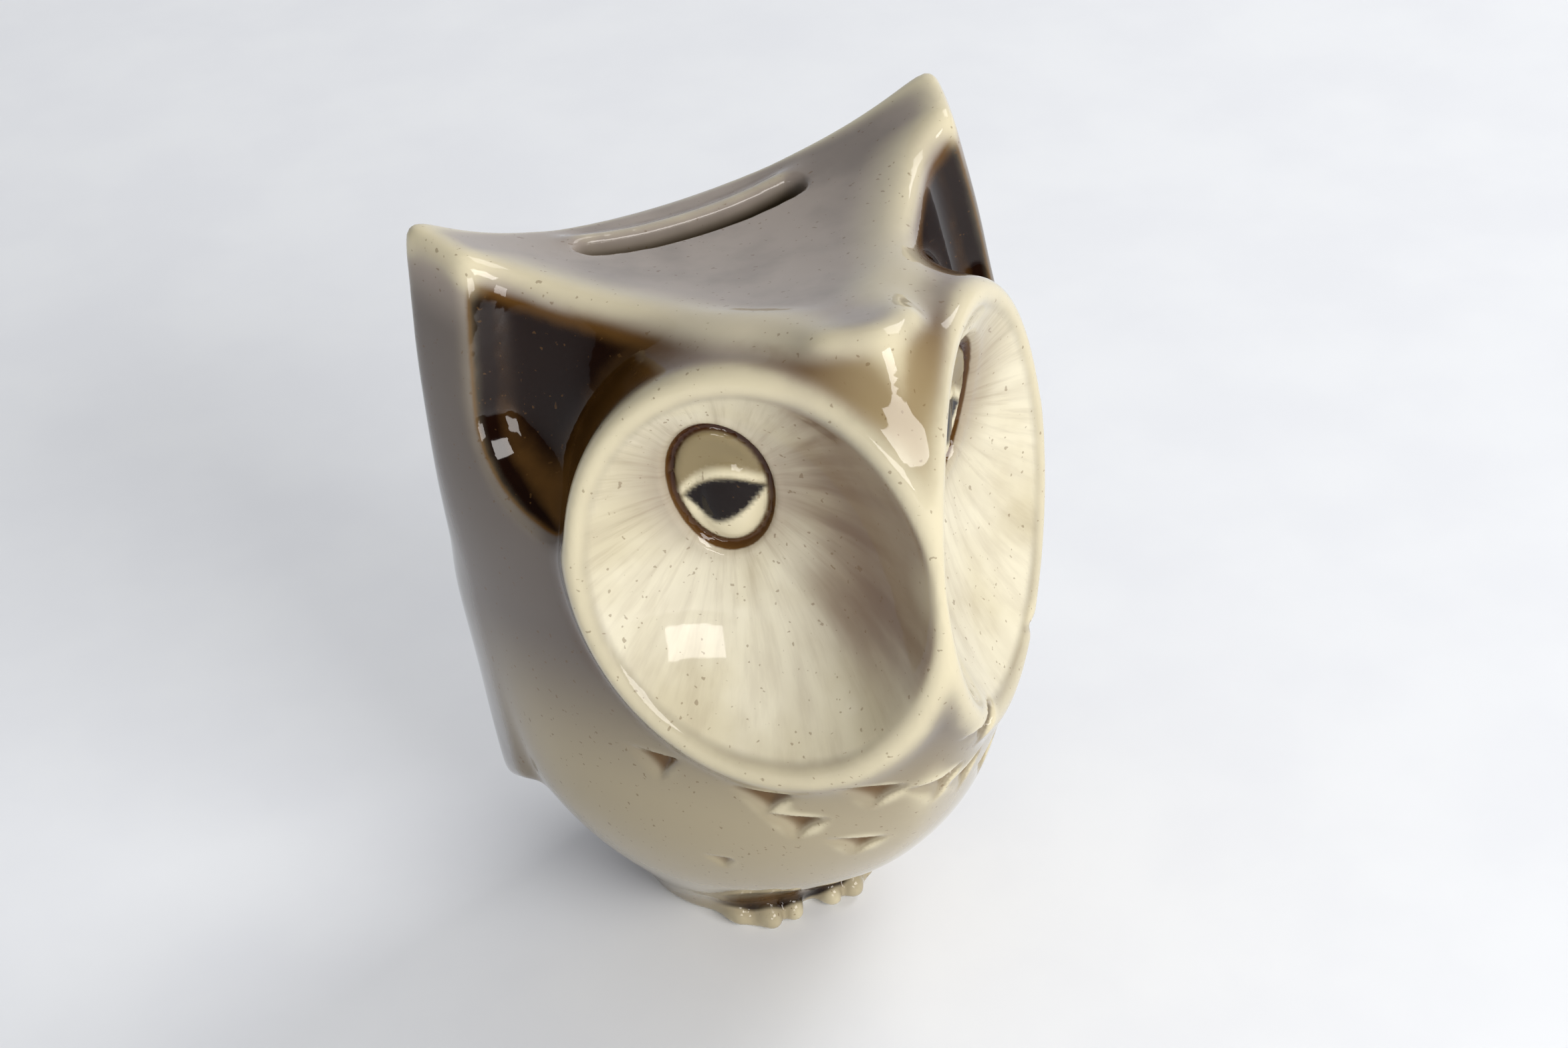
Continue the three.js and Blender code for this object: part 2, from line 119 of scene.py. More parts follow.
def station_curve(stations):
    """Smooth curve through (height, value) stations, as a function of height."""
    xs, ys = (np.array(c, float) for c in zip(*stations))
    slope = np.diff(ys) / np.diff(xs)
    same = slope[:-1] * slope[1:] > 0
    inner = np.where(same, 2 * slope[:-1] * slope[1:] / np.where(same, slope[:-1] + slope[1:], 1), 0)
    tangent = np.concatenate([slope[:1], inner, slope[-1:]])
    table_z = np.arange(-20, 150, 0.25)
    z = np.clip(table_z, xs[0], xs[-1])
    i = np.clip(np.searchsorted(xs, z, side="right") - 1, 0, len(xs) - 2)
    h = xs[i + 1] - xs[i]
    t = (z - xs[i]) / h
    table = ((1 + 2 * t) * (1 - t) ** 2 * ys[i] + t * (1 - t) ** 2 * h * tangent[i]
             + t * t * (3 - 2 * t) * ys[i + 1] + t * t * (t - 1) * h * tangent[i + 1])
    kernel = np.exp(-0.5 * (np.arange(-30, 31) / 10.0) ** 2)
    padded = np.pad(table, 30, mode="edge")
    table = np.convolve(padded, kernel / kernel.sum(), mode="valid")
    return lambda height: np.interp(height, table_z, table).astype(np.float32)


def blur(field, sigma):
    """Gaussian blur of a grid by sigma millimetres, one axis at a time."""
    radius = int(math.ceil(2.6 * sigma / CELL))
    steps = np.arange(-radius, radius + 1)
    weights = np.exp(-0.5 * (steps * CELL / sigma) ** 2)
    weights /= weights.sum()
    for axis in range(3):
        pad = [(0, 0)] * 3
        pad[axis] = (radius, radius)
        wide = np.pad(field, pad, mode="edge")
        size = field.shape[axis]
        field = sum(np.float32(w) * wide.take(range(i, i + size), axis) for i, w in enumerate(weights))
    return field


def disc_axes(x, y, z):
    """Coordinates of an eye disc: u outwards, v up, n out of the disc."""
    dx = np.sqrt(x * x + 0.6) - DISC["x"]
    dy = y - DISC["y"]
    dz = z - DISC["z"]
    u = dx * math.cos(DISC_TURN) + dy * math.sin(DISC_TURN)
    out = dx * math.sin(DISC_TURN) - dy * math.cos(DISC_TURN)
    v = dz * math.cos(DISC_LEAN) - out * math.sin(DISC_LEAN)
    n = out * math.cos(DISC_LEAN) + dz * math.sin(DISC_LEAN)
    n = n + 1.2 * (u / DISC["ru"]) ** 2 + 1.7 * (v / DISC["rv"]) ** 2
    return u, v, n


# ------------------------------------------------------------------ the ceramic's field
class Places:
    """Places in the frame (millimetres), with their coordinates about the tipped body's axis."""

    def __init__(self, x, world_y, height):
        self.x, self.world_y, self.height = x, world_y, height
        back = world_y - BODY_Y - PITCH_Y
        self.y = back * math.cos(PITCH) - height * math.sin(PITCH) + PITCH_Y
        self.z = height * math.cos(PITCH) + back * math.sin(PITCH)
        self.u, self.v, self.n = disc_axes(self.x, self.y, self.z)
        self.outside = (np.sqrt((self.u / DISC["ru"]) ** 2 + (self.v / DISC["rv"]) ** 2) - 1) * 26


class Grid(Places):
    """The places of a regular grid round the ceramic."""

    def __init__(self):
        low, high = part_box("ceramic_body")
        margin = 4.0
        self.low = np.array([v / MM - margin for v in low])
        counts = [int((b - a) / MM / CELL + 2 * margin / CELL) for a, b in zip(low, high)]
        axes = [(self.low[i] + CELL * np.arange(counts[i])).astype(np.float32) for i in range(3)]
        super().__init__(axes[0][:, None, None], axes[1][None, :, None], axes[2][None, None, :])

    def sample(self, field, points):
        """Trilinear samples of a field at points in millimetres."""
        p = (points - self.low) / CELL
        cell = np.clip(np.floor(p).astype(int), 0, np.array(field.shape) - 2)
        t = p - cell
        total = np.zeros(len(p))
        for corner in np.ndindex(2, 2, 2):
            c = np.array(corner)
            weight = np.prod(np.where(c, t, 1 - t), axis=1)
            i, j, k = (cell + c).T
            total += weight * field[i, j, k]
        return total


def section(g, width, back, power_behind):
    """Superellipse sections round the body's axis, their half widths and reaches set by height."""
    centre = station_curve(CENTRE)(g.z)
    behind = g.y > centre
    reach = np.where(behind, back - centre, station_curve(FRONT)(g.z) + centre)
    power = np.where(behind, power_behind, station_curve(FRONT_POWER)(g.z))
    across = np.sqrt(g.x * g.x + 0.5) / width
    q = (across ** power + (np.abs(g.y - centre) / reach) ** power) ** (1 / power) + 1e-6
    return (q - 1) * np.hypot(g.x, g.y - centre) * 0.85 / q


def loft(g):
    """The plain body, before the face, the crown and the wings."""
    width = station_curve(HALF_WIDTH)(g.z)
    return section(g, width, station_curve(BACK)(g.z), station_curve(BACK_POWER)(g.z))


def wings(g):
    """Folded wings: the sides carried straight down to a stepped, slanting tip."""
    width = station_curve(WING_WIDTH)(g.z)
    d = section(g, width, station_curve(BACK)(g.z) + 3, 3.0)
    tip = (24 - 0.6 * (g.y - 9) - g.z) * 0.86
    d = smooth_max(d, tip, 2.0)
    d = smooth_max(d, WING_FRONT - g.y - 0.10 * (g.z - 32), 1.2)
    d = smooth_max(d, g.y - WING_BACK - 0.04 * (g.z - 20), 7)
    return smooth_max(d, (g.z - 80) * 0.6, 12)


def crown(g):
    """The top: a saddle between the ears, with a low lip behind the coin slot."""
    forward = np.clip((-g.y - 2) / 56, -0.3, 1.1)
    ears = EAR_RISE * (np.abs(g.x) / 46) ** 2.2
    brow = BROW_RISE * np.maximum(forward, 0) ** 1.8 - BACK_DROP * np.maximum(-forward, 0)
    behind_slot = g.y - SLOT["y"] - SLOT["width"] / 2
    lip = np.exp(-((behind_slot - 1.2) / 1.5) ** 2) - 0.5 * np.exp(-((behind_slot - 4.6) / 1.8) ** 2)
    lip = 1.1 * lip * smooth_step((21 - np.abs(g.x)) / 6)
    return (g.z - TOP_LOW - ears - brow - lip) * 0.93


def scoop_inset(g):
    """Distance inside the rounded outline of the scooped facet outside an eye disc."""
    return SCOOP["radius"] - np.hypot(np.maximum(g.u - SCOOP["u"], 0), np.minimum(g.v - SCOOP["v"], 0))


def face_plane(g):
    """The face: a plane under each eye disc, a scooped facet outside it and a full brow between."""
    out = np.maximum(g.outside, 0)
    scoop = 1 - np.exp(-np.maximum(scoop_inset(g) + 0.8, 0) / 2.5)
    sunk = SCOOP["depth"] * (1 - np.exp(-out / 3)) * scoop * smooth_step((g.u + 14) / 16)
    brow = smooth_step((g.outside - 0.8) / 3.5) * smooth_step((g.v - 1) / 8) * smooth_step((-g.u - 6) / 10)
    return (g.n + sunk - 2.2 * brow) * 0.7


def dish(g):
    """A bowl a little steeper at its edge than a sphere, pulled in beside the ridge."""
    narrower = 1 + 0.065 * smooth_step(-g.u / 20)
    r = np.hypot(g.u * narrower / DISC["ru"], g.v / DISC["rv"])
    slope = 2.3 * DISH_DEPTH / DISC["ru"] * np.minimum(r, 1.1) ** 1.3
    return (g.n - 0.3 + DISH_DEPTH * (1 - np.minimum(r, 1.3) ** 2.3)) / np.sqrt(1 + slope * slope)


def eye_axes(g):
    return (g.u - EYE["u"]) / EYE["ru"], (g.v - EYE["v"]) / EYE["rv"]


def lid_edge(p):
    """Height of the upper lid's edge across the eye, and of the lower edge of the dark opening."""
    inward = -p
    upper = 0.17 - 0.30 * (inward - 0.2) ** 2
    lower = -0.62 + np.where(inward < -0.18, 0.85, 0.42) * np.abs(inward + 0.18) ** 1.7
    return upper, lower


def add_eyes(d, g):
    """The eyeballs with their lids, each in a groove with a fine bead round it."""
    p, q = eye_axes(g)
    r = np.hypot(p, q)
    bead = np.exp(-((r - 1.28) / 0.09) ** 2) * 0.22
    groove = np.exp(-((r - 1.10) / 0.10) ** 2) * 1.2
    d = d + groove - bead
    depth = (g.n - EYE["n"]) / EYE["rn"]
    ball = (np.sqrt(r * r + depth * depth) - 1) * 4.8
    upper, lower = lid_edge(p)
    lid = smooth_step((q - upper) / 0.09 + 0.5) * 0.75 * smooth_step((1.15 - r) / 0.3)
    below = smooth_step((lower - q) / 0.08 + 0.5) * 0.22
    return smooth_min(d, ball - lid - below, 0.35)


def feet(g):
    """Toes as long drops on the table, joined by a low pad."""
    across, along, up = np.abs(g.x), g.world_y - BODY_Y, g.height
    pad = np.sqrt(((across - 6.6) / 6.4) ** 2 + ((along + 10.5) / 9.0) ** 2 + (up / 6.5) ** 2)
    d = (pad - 1) * 5.5
    for x, tip, width in TOES:
        px, py, pz = (across - x) / width, (along - tip - 6.4) / 6.4, (up - 1.8) / 3.6
        d = smooth_min(d, (np.sqrt(px * px + py * py + pz * pz) - 1) * width, 0.5)
    return d


def notch_depth(g):
    """Depth pressed into the breast by the triangular feather notches."""
    turn = np.arctan2(g.x, -(g.y + 4))
    total = 0
    for angle, height, size in NOTCHES:
        radius = 36 * math.cos(math.radians(angle) * 0.6)
        p = (turn - math.radians(angle)) * radius / size
        q = (g.z - height) / size
        left = p * 0.86 + q * 0.50 + 1.75
        right = -p * 0.86 + q * 0.50 + 1.75
        depth = np.minimum(np.minimum(left * 0.38, right * 1.5), (2.7 - q) * 1.3)
        total = np.maximum(total, size * 1.35 * smooth_step(depth / 1.6 + 0.08))
    return total * smooth_step((-g.y - 2) / 8)


def outer_field(g):
    """The outside without its eyes, feet and notches."""
    d = smooth_min(loft(g), wings(g), 2.2)
    d = smooth_max(d, face_plane(g), 2.6)
    d = smooth_max(d, crown(g), 3.0)
    d = blur(d, 1.0)
    puck = smooth_max(g.outside - 2.4, np.abs(g.n + 6.6) - 7, 3.5)
    puck = smooth_max(puck, crown(g) + 1.5, 2.0)
    d = smooth_min(d, puck, 4)
    d = smooth_max(d, dish(g), 1.8)
    return blur(d, 0.5)


def ceramic_fields():
    g = Grid()
    plain = outer_field(g)
    skin = smooth_min(add_eyes(plain, g), feet(g), 1.0)
    skin = skin + notch_depth(g)
    skin = smooth_max(skin, -g.height, 1.2)
    cavity = smooth_max(plain + WALL, FLOOR_TOP - g.height, 1.0)
    shell = smooth_max(skin, -cavity, 0.4)
    half = (SLOT["length"] - SLOT["width"]) / 2
    slot_y = g.y - SLOT["y"]
    slot = np.hypot(np.maximum(np.abs(g.x) - half, 0), slot_y) - SLOT["width"] / 2
    slot = np.maximum(slot, 98 - g.height)
    shell = smooth_max(shell, -slot, 1.0)
    lock_r = np.hypot(g.x, g.world_y - BODY_Y - TRAP_Y)
    rebate = np.maximum(lock_r - REBATE_R, g.height - REBATE_Z)
    hole = np.maximum(lock_r - HOLE_R, g.height - FLOOR_TOP - 2)
    shell = smooth_max(shell, -np.minimum(rebate, hole), 0.4)
    return g, shell, skin


# ------------------------------------------------------------------ mesh from the field
def mesh_from_field(name, g, field):
    """The field's zero surface as a smooth-shaded mesh, and its points in millimetres."""
    band = 3 * CELL
    grid = openvdb.FloatGrid(background=band)
    grid.copyFromArray(np.clip(field, -band, band).astype(np.float32))
    points, quads = grid.convertToQuads(isovalue=0.0)
    points = points.astype(float) * CELL + g.low
    a, b, c = (points[quads[:, i]] for i in range(3))
    if np.einsum("ij,ij->i", a, np.cross(b, c)).sum() < 0:
        quads = quads[:, ::-1]
    points = relax(points, quads, 4)
    mesh = bpy.data.meshes.new(name)
    mesh.vertices.add(len(points))
    mesh.vertices.foreach_set("co", (points * MM).ravel())
    mesh.loops.add(quads.size)
    mesh.loops.foreach_set("vertex_index", quads.ravel())
    mesh.polygons.add(len(quads))
    mesh.polygons.foreach_set("loop_start", np.arange(0, quads.size, 4))
    mesh.update(calc_edges=True)
    mesh.validate()
    mesh.shade_smooth()
    return mesh, points


def relax(points, quads, rounds):
    """A few volume-keeping smoothing rounds, which take the grid's ripple off the gloss."""
    ends = np.concatenate([quads[:, [0, 1]], quads[:, [1, 2]], quads[:, [2, 3]], quads[:, [3, 0]]])
    count = np.bincount(ends.ravel(), minlength=len(points))[:, None]
    for i in range(rounds):
        factor = 0.5 if i % 2 == 0 else -0.5
        total = np.zeros_like(points)
        for axis in range(3):
            total[:, axis] = (np.bincount(ends[:, 0], points[ends[:, 1], axis], len(points))
                              + np.bincount(ends[:, 1], points[ends[:, 0], axis], len(points)))
        points = points + factor * (total / count - points)
    return points


def set_attribute(mesh, name, values):
    attribute = mesh.attributes.new(name, "FLOAT", "POINT")
    attribute.data.foreach_set("value", values.astype(np.float32))


def paint_masks(mesh, points, grid, skin):
    """Where the glaze pools or breaks, which part of the owl a point is on, and where shade is painted into
    the colour.
    """
    g = Places(*points.T)
    on_skin = smooth_step((grid.sample(skin, points) + 1.5) / 1.0)
    fine = grid.sample(blur(skin, 1.2) - skin, points)
    broad = grid.sample(blur(skin, 3.2) - skin, points)
    p, q = eye_axes(g)
    r = np.hypot(p, q)
    upper, lower = lid_edge(p)
    at_eye = (g.n < -3) * (g.n > -18) * on_skin
    ball = smooth_step((1.08 - r) / 0.08) * at_eye
    in_dish = smooth_step((-0.6 - g.outside) / 1.4) * smooth_step((1.0 - g.n) / 1.5) * on_skin
    in_dish = in_dish * smooth_step((np.abs(g.x) - 0.5) / 1.3)
    side, below_top = -loft(g), -crown(g)
    facet = smooth_step((g.outside - 1.2) / 4) * smooth_step((side - 0.2) / 1.0)
    facet = facet * smooth_step((below_top - 2.5) / 5) * smooth_step((scoop_inset(g) + 0.3) / 1.4)
    facet = facet * smooth_step((g.u + 18) / 18)
    set_attribute(mesh, "fine", np.clip(fine, -1, 1))
    set_attribute(mesh, "broad", np.clip(broad, -2, 2))
    set_attribute(mesh, "dish", in_dish)
    set_attribute(mesh, "facet", facet * on_skin)
    forehead = smooth_step((g.n + 20) / 4) * smooth_step((below_top - 0.8) / 4) * smooth_step((g.v - 2) / 8)
    forehead = forehead * smooth_step((g.outside - 0.8) / 3) * smooth_step((33 - g.u) / 7) * on_skin
    set_attribute(mesh, "forehead", forehead)
    crest = np.hypot(below_top / 3.6, face_plane(g) / 6.5)
    set_attribute(mesh, "crest", smooth_step(1.2 - crest) * on_skin)
    set_attribute(mesh, "toward_ear", smooth_step((g.u + 22) / 20))
    # the sides below the top, painted a darker grey than the top as painted shade
    set_attribute(mesh, "side_shade", smooth_step((below_top - 4) / 10))
    set_attribute(mesh, "belly", smooth_step((72 - g.z) / 30) * smooth_step((4 - g.y) / 22))
    set_attribute(mesh, "ball", ball)
    opening = smooth_step((upper - q) / 0.10 + 0.5) * smooth_step((q - lower) / 0.12 + 0.5)
    set_attribute(mesh, "opening", ball * opening)
    set_attribute(mesh, "under_lid", ball * smooth_step((upper - q) / 0.06))
    set_attribute(mesh, "lid_rim", ball * smooth_step(1 - np.abs(q - upper - 0.10) / 0.16))
    groove = smooth_step(1.5 - np.abs(r - 1.09) / 0.075) * at_eye
    set_attribute(mesh, "groove", groove * (0.55 + 0.45 * smooth_step((q + 0.6) / 0.8)))
    across, up = g.u - EYE["u"], g.v - EYE["v"]
    reach = np.hypot(across, up) + 1e-6
    set_attribute(mesh, "streak_cos", across / reach)
    set_attribute(mesh, "streak_sin", up / reach)
    set_attribute(mesh, "streak_radius", reach)
    # inner: the side of each dish toward the ridge, where the dish is darkened as painted shade
    set_attribute(mesh, "inner", smooth_step((3 - g.u) / 16) * smooth_step((g.v + 24) / 22))
    toes = smooth_step((7 - points[:, 2]) / 4) * smooth_step((-12 - points[:, 1] + BODY_Y) / 4)
    set_attribute(mesh, "toes", toes * on_skin)
    ring = smooth_step((0.5 - points[:, 2]) / 0.3)
    in_slot = smooth_step((SLOT["width"] / 2 + 0.5 - np.abs(g.y - SLOT["y"])) / 0.5)
    in_slot = in_slot * smooth_step((SLOT["length"] / 2 + 0.6 - np.abs(g.x)) / 0.6)
    in_slot = in_slot * smooth_step((points[:, 2] - 95) / 4)
    # slot: the slot's walls, darker the deeper they go below the crown: painted shade inside the slot
    set_attribute(mesh, "slot", in_slot * smooth_step((below_top - 0.3) / 4.0))
    set_attribute(mesh, "bare", np.maximum(ring, (1 - on_skin) * (1 - in_slot)))
    side_edge = smooth_step((g.u - 8) / 10) * smooth_step((below_top - 3) / 5)
    set_attribute(mesh, "side_edge", side_edge * smooth_step((g.outside - 1.5) / 3))


# ------------------------------------------------------------------ materials
class Nodes:
    """Short hand for building one node material."""

    def __init__(self, name):
        self.material = bpy.data.materials.new(name)
        self.material.use_nodes = True
        self.tree = self.material.node_tree
        self.shader = self.tree.nodes["Principled BSDF"]

    def link(self, source, target):
        self.tree.links.new(source, target)

    def set(self, socket, value):
        if hasattr(value, "is_output"):
            self.link(value, socket)
        else:
            socket.default_value = value

    def attribute(self, name):
        node = self.tree.nodes.new("ShaderNodeAttribute")
        node.attribute_name = name
        return node.outputs["Fac"]

    def math(self, operation, a, b=0.0, clamp=False):
        node = self.tree.nodes.new("ShaderNodeMath")
        node.operation = operation
        node.use_clamp = clamp
        self.set(node.inputs[0], a)
        self.set(node.inputs[1], b)
        return node.outputs[0]

    def ramp(self, value, low, high, to_low=0.0, to_high=1.0):
        node = self.tree.nodes.new("ShaderNodeMapRange")
        node.interpolation_type = "SMOOTHSTEP"
        self.set(node.inputs["Value"], value)
        node.inputs["From Min"].default_value = low
        node.inputs["From Max"].default_value = high
        node.inputs["To Min"].default_value = to_low
        node.inputs["To Max"].default_value = to_high
        return node.outputs["Result"]

    def mix(self, factor, a, b):
        node = self.tree.nodes.new("ShaderNodeMix")
        node.data_type = "RGBA"
        self.set(node.inputs["Factor"], factor)
        self.set(node.inputs["A"], a)
        self.set(node.inputs["B"], b)
        return node.outputs["Result"]

    def position(self):
        return self.tree.nodes.new("ShaderNodeTexCoord").outputs["Object"]

    def vector(self, x, y, z):
        node = self.tree.nodes.new("ShaderNodeCombineXYZ")
        for socket, value in zip(node.inputs, (x, y, z)):
            self.set(socket, value)
        return node.outputs[0]

    def noise(self, vector, scale, detail=3.0, roughness=0.5):
        node = self.tree.nodes.new("ShaderNodeTexNoise")
        self.link(vector, node.inputs["Vector"])
        node.inputs["Scale"].default_value = scale
        node.inputs["Detail"].default_value = detail
        node.inputs["Roughness"].default_value = roughness
        return node.outputs["Fac"]

    def bump(self, height, strength, distance):
        node = self.tree.nodes.new("ShaderNodeBump")
        node.inputs["Strength"].default_value = strength
        node.inputs["Distance"].default_value = distance
        self.link(height, node.inputs["Height"])
        self.link(node.outputs["Normal"], self.shader.inputs["Normal"])

    def settings(self, **values):
        for name, value in values.items():
            self.shader.inputs[name.replace("_", " ")].default_value = value


def rgb(red, green, blue):
    """A colour from its 0 to 255 screen values."""
    return tuple((c / 255.0) ** 2.2 for c in (red, green, blue)) + (1.0,)


TAUPE = rgb(150, 139, 129)
# SIDE_GREY: the glaze's darker grey tone, also laid down the sides as painted shade
SIDE_GREY = rgb(102, 94, 88)
OLIVE = rgb(158, 146, 120)
CREAM = rgb(208, 197, 166)
TAN = rgb(150, 132, 96)
BROWN = rgb(88, 62, 32)
DARK = rgb(26, 12, 5)
MAUVE = rgb(122, 104, 92)
BISQUE = rgb(222, 214, 196)


def glaze_material():
    m = Nodes("owl_glaze")
    place = m.position()
    cloud = m.noise(place, 60, 4)
    mottle = m.noise(place, 300, 3)
    fine = m.math("ADD", m.attribute("fine"), m.ramp(mottle, 0.2, 0.8, -0.02, 0.02))
    broad = m.math("ADD", m.attribute("broad"), m.ramp(cloud, 0.2, 0.8, -0.12, 0.12))
    base = m.mix(m.ramp(cloud, 0.40, 0.75, 0.0, 0.6), TAUPE, SIDE_GREY)
    # painted shade: the sides darker grey than the top
    base = m.mix(m.attribute("side_shade"), base, SIDE_GREY)
    base = m.mix(m.attribute("belly"), base, OLIVE)
    brow = m.mix(m.ramp(m.attribute("toward_ear"), 0.0, 1.0, 0.25, 1.0), TAN, BROWN)
    base = m.mix(m.math("MULTIPLY", m.attribute("forehead"), 0.9), base, brow)
    base = m.mix(m.ramp(broad, -0.10, -0.75, 0.0, 0.85), base, BROWN)
    facet = m.math("MULTIPLY", m.attribute("facet"), m.ramp(mottle, 0.2, 0.7, 1.1, 0.96), clamp=True)
    base = m.mix(m.ramp(facet, 0.0, 0.45), base, BROWN)
    base = m.mix(m.ramp(facet, 0.35, 1.0), base, DARK)
    away = m.ramp(m.attribute("side_edge"), 0.0, 1.0, 1.0, 0.12)
    base = m.mix(m.math("MULTIPLY", m.attribute("crest"), 0.62), base, CREAM)
    base = m.mix(m.math("MULTIPLY", m.ramp(broad, 0.25, 1.6, 0.0, 0.8), away), base, CREAM)
    base = m.mix(m.math("MULTIPLY", m.ramp(fine, 0.05, 0.30, 0.0, 0.8), away), base, CREAM)
    base = m.mix(m.attribute("dish"), base, dish_colour(m, cloud))
    on_belly = m.ramp(m.attribute("belly"), 0.2, 0.8, 1.0, 0.25)
    in_notch = m.math("MULTIPLY", m.ramp(fine, -0.05, -0.25), on_belly)
    base = m.mix(in_notch, base, BROWN)
    base = m.mix(m.math("MULTIPLY", m.attribute("toes"), m.ramp(broad, 0.1, -0.4)), base, DARK)
    base = m.mix(m.attribute("ball"), base, m.mix(m.attribute("under_lid"), rgb(128, 114, 84), CREAM))
    base = m.mix(m.attribute("lid_rim"), base, CREAM)
    base = m.mix(m.attribute("groove"), base, rgb(58, 34, 20))
    base = m.mix(m.attribute("opening"), base, rgb(20, 9, 6))
    specks = m.ramp(m.noise(place, 1100, 1), 0.70, 0.75)
    base = m.mix(m.math("MULTIPLY", specks, 0.45), base, rgb(96, 70, 40))
    # painted shade: the slot's walls dark brown, deepening with depth
    base = m.mix(m.attribute("slot"), base, rgb(84, 68, 38))
    base = m.mix(m.attribute("bare"), base, BISQUE)
    m.link(base, m.shader.inputs["Base Color"])
    m.link(m.ramp(m.attribute("bare"), 0.0, 1.0, 0.045, 0.75), m.shader.inputs["Roughness"])
    m.settings(IOR=1.5, Specular_IOR_Level=0.28, Specular_Tint=(1.0, 0.95, 0.91, 1.0))
    m.bump(m.noise(place, 240, 2), 0.05, 0.0004)
    return m.material


def dish_colour(m, cloud):
    """Cream dish with brushed brown and mauve streaks that run out from the eye, darkened towards the ridge
    by painted shade.
    """
    reach = m.attribute("streak_radius")
    around = m.attribute("streak_cos"), m.attribute("streak_sin")
    brush = m.vector(*(m.math("MULTIPLY", part, 2.4) for part in around), m.math("MULTIPLY", reach, 0.03))
    hair = m.vector(*(m.math("MULTIPLY", part, 9.0) for part in around), m.math("MULTIPLY", reach, 0.06))
    wide = m.ramp(m.noise(brush, 1.7, 3, 0.5), 0.36, 0.66)
    thin = m.ramp(m.noise(hair, 1.6, 4, 0.6), 0.42, 0.72)
    inner = m.attribute("inner")
    colour = m.mix(m.ramp(cloud, 0.35, 0.7), rgb(214, 206, 182), rgb(196, 186, 158))
    # painted shade: the dish darkened towards the ridge
    colour = m.mix(m.math("MULTIPLY", inner, 0.90), colour, rgb(112, 92, 74))
    # brushed streaks, laid on more strongly towards the ridge, where they add to the painted shade
    colour = m.mix(m.math("MULTIPLY", wide, m.ramp(inner, 0.0, 1.0, 0.12, 0.75)), colour, rgb(108, 88, 72))
    colour = m.mix(m.math("MULTIPLY", thin, m.ramp(reach, 8, 24, 0.24, 0.16)), colour, rgb(116, 94, 72))
    return m.mix(m.ramp(reach, 7, 15, 0.55, 0.0), colour, MAUVE)


def metal_material(name, colour, roughness, scale):
    m = Nodes(name)
    place = m.position()
    wear = m.noise(place, scale, 4)
    m.link(m.mix(m.ramp(wear, 0.35, 0.7, 0.0, 0.5), colour, tuple(0.6 * c for c in colour[:3]) + (1,)),
           m.shader.inputs["Base Color"])
    m.link(m.ramp(wear, 0.3, 0.7, roughness, roughness + 0.2), m.shader.inputs["Roughness"])
    m.settings(Metallic=1.0)
    m.bump(m.noise(place, 2500, 2), 0.15, 0.0001)
    return m.material


# ------------------------------------------------------------------ pieces
def make_ceramic():
    g, shell, skin = ceramic_fields()
    mesh, points = mesh_from_field("glazed_owl", g, shell)
    paint_masks(mesh, points, g, skin)
    owl = bpy.data.objects.new("glazed_owl", mesh)
    bpy.context.scene.collection.objects.link(owl)
    mesh.materials.append(glaze_material())
    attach(owl, "owl")
    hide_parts("ceramic_body")
    return owl


def dress_lock():
    nickel = metal_material("worn_nickel", rgb(200, 196, 186), 0.22, 160)
    brass = metal_material("dull_brass", rgb(190, 152, 88), 0.3, 220)
    steel = metal_material("plain_steel", rgb(150, 150, 152), 0.3, 300)
    finishes = {"nickel_plate": nickel, "lock_brass": brass, "lock_steel": steel}
    for part in frame["record"]["subparts"]:
        node = frame["nodes"][part["node"]]
        if part["material_slot"] in finishes:
            node.data.materials.clear()
            node.data.materials.append(finishes[part["material_slot"]])


# ------------------------------------------------------------------ stage, light and camera
def paper_material():
    m = Nodes("pale_paper")
    grain = m.noise(m.position(), 30, 3)
    m.link(m.mix(m.ramp(grain, 0.3, 0.7, 0.0, 1.0), rgb(236, 237, 240), rgb(240, 241, 243)),
           m.shader.inputs["Base Color"])
    m.settings(Roughness=0.9)
    return m.material


def make_floor():
    """Pale paper that curves up behind the owl, with a hole that the trap comes down through."""
    turn = math.radians(PAPER["turn"])
    flat_to, curve = PAPER["flat_to"], PAPER["curve"]
    profile = [(PAPER["near"], 0.0)]
    profile += [(flat_to + curve * math.sin(a), curve - curve * math.cos(a))
                for a in np.linspace(0, math.pi / 2, 12)]
    profile += [(flat_to + curve, PAPER["top"])]
    bm = bmesh.new()
    rows = []
    for along, up in profile:
        rows.append([bm.verts.new((across * math.cos(turn) - along * math.sin(turn),
                                   across * math.sin(turn) + along * math.cos(turn), up))
                     for across in (-PAPER["half_width"], PAPER["half_width"])])
    for near, far in zip(rows[1:], rows[2:]):
        bm.faces.new((near[0], near[1], far[1], far[0]))
    rim = [bm.verts.new((MM * REBATE_R * math.cos(a), MM * (BODY_Y + TRAP_Y + REBATE_R * math.sin(a)), 0))
           for a in np.linspace(0, 2 * math.pi, 64, endpoint=False)]
    edges = []
    for loop in (rows[0] + rows[1][::-1], rim):
        for a, b in zip(loop, loop[1:] + loop[:1]):
            edges.append(bm.edges.get((a, b)) or bm.edges.new((a, b)))
    bmesh.ops.triangle_fill(bm, edges=edges, use_beauty=True, normal=(0, 0, 1))
    mesh = bpy.data.meshes.new("paper_floor")
    bm.to_mesh(mesh)
    bm.free()
    floor = bpy.data.objects.new("paper_floor", mesh)
    bpy.context.scene.collection.objects.link(floor)
    mesh.materials.append(paper_material())


def area_light(name, place, target, size, power, colour=(1, 1, 1)):
    data = bpy.data.lights.new(name, "AREA")
    data.shape = "RECTANGLE"
    data.size, data.size_y = size
    data.energy = power
    data.color = colour
    light = bpy.data.objects.new(name, data)
    light.location = place
    direction = Vector(target) - Vector(place)
    light.rotation_euler = direction.to_track_quat("-Z", "Y").to_euler()
    bpy.context.scene.collection.objects.link(light)


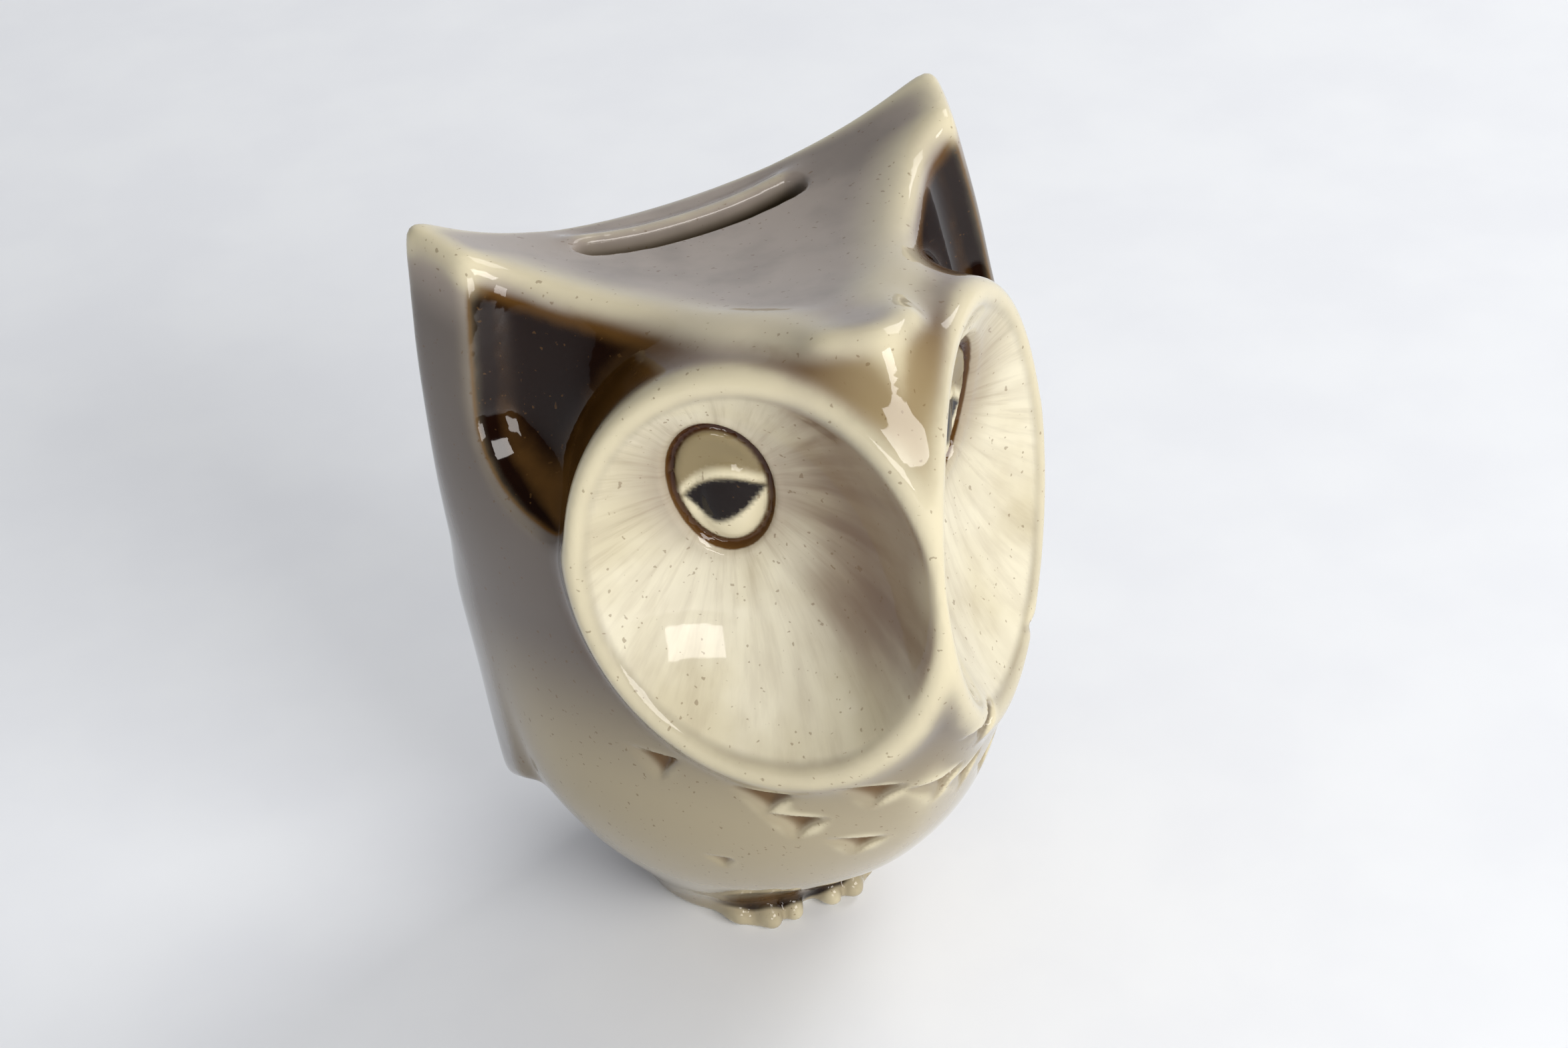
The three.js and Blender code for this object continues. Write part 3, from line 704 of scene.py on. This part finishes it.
def make_lights():
    """Soft windows, and a world that lights evenly but looks dim in the glaze's reflections."""
    scene = bpy.context.scene
    scene.view_settings.view_transform = "Standard"
    world = bpy.data.worlds.new("studio")
    scene.world = world
    world.use_nodes = True
    background = world.node_tree.nodes["Background"]
    background.inputs["Strength"].default_value = 0.40
    tree = world.node_tree
    room = tree.nodes.new("ShaderNodeMix")
    room.data_type = "RGBA"
    room.inputs["A"].default_value = (0.87, 0.89, 0.92, 1)
    room.inputs["B"].default_value = (0.30, 0.26, 0.23, 1)
    tree.links.new(tree.nodes.new("ShaderNodeLightPath").outputs["Is Glossy Ray"], room.inputs["Factor"])
    tree.links.new(room.outputs["Result"], background.inputs["Color"])
    for window in WINDOWS:
        place_light(*window, LIT_POINT)


def place_light(name, azimuth, elevation, distance, size, power, target):
    """An area light seen from the target at this azimuth (0 is straight ahead) and elevation."""
    a, e = math.radians(azimuth), math.radians(elevation)
    area_light(name, (target[0] + distance * math.sin(a) * math.cos(e),
                      target[1] - distance * math.cos(a) * math.cos(e),
                      target[2] + distance * math.sin(e)), target, size, power)


def make_camera():
    azimuth, elevation, roll = (math.radians(CAMERA[a]) for a in ("azimuth", "elevation", "roll"))
    distance = CAMERA["distance"]
    target = Vector(CAMERA["target"])
    back = Vector((math.sin(azimuth) * math.cos(elevation),
                      -math.cos(azimuth) * math.cos(elevation), math.sin(elevation)))
    level = Vector((math.cos(azimuth), math.sin(azimuth), 0))
    up = back.cross(level)
    right = level * math.cos(roll) + up * math.sin(roll)
    up = back.cross(right)
    data = bpy.data.cameras.new("photo_angle")
    data.sensor_width = 36
    data.lens = CAMERA["lens"]
    camera = bpy.data.objects.new("photo_angle", data)
    camera.matrix_world = Matrix((
        (right.x, up.x, back.x, target.x + back.x * distance),
        (right.y, up.y, back.y, target.y + back.y * distance),
        (right.z, up.z, back.z, target.z + back.z * distance),
        (0, 0, 0, 1)))
    bpy.context.scene.collection.objects.link(camera)
    bpy.context.scene.camera = camera


make_camera()
make_ceramic()
dress_lock()
make_floor()
make_lights()
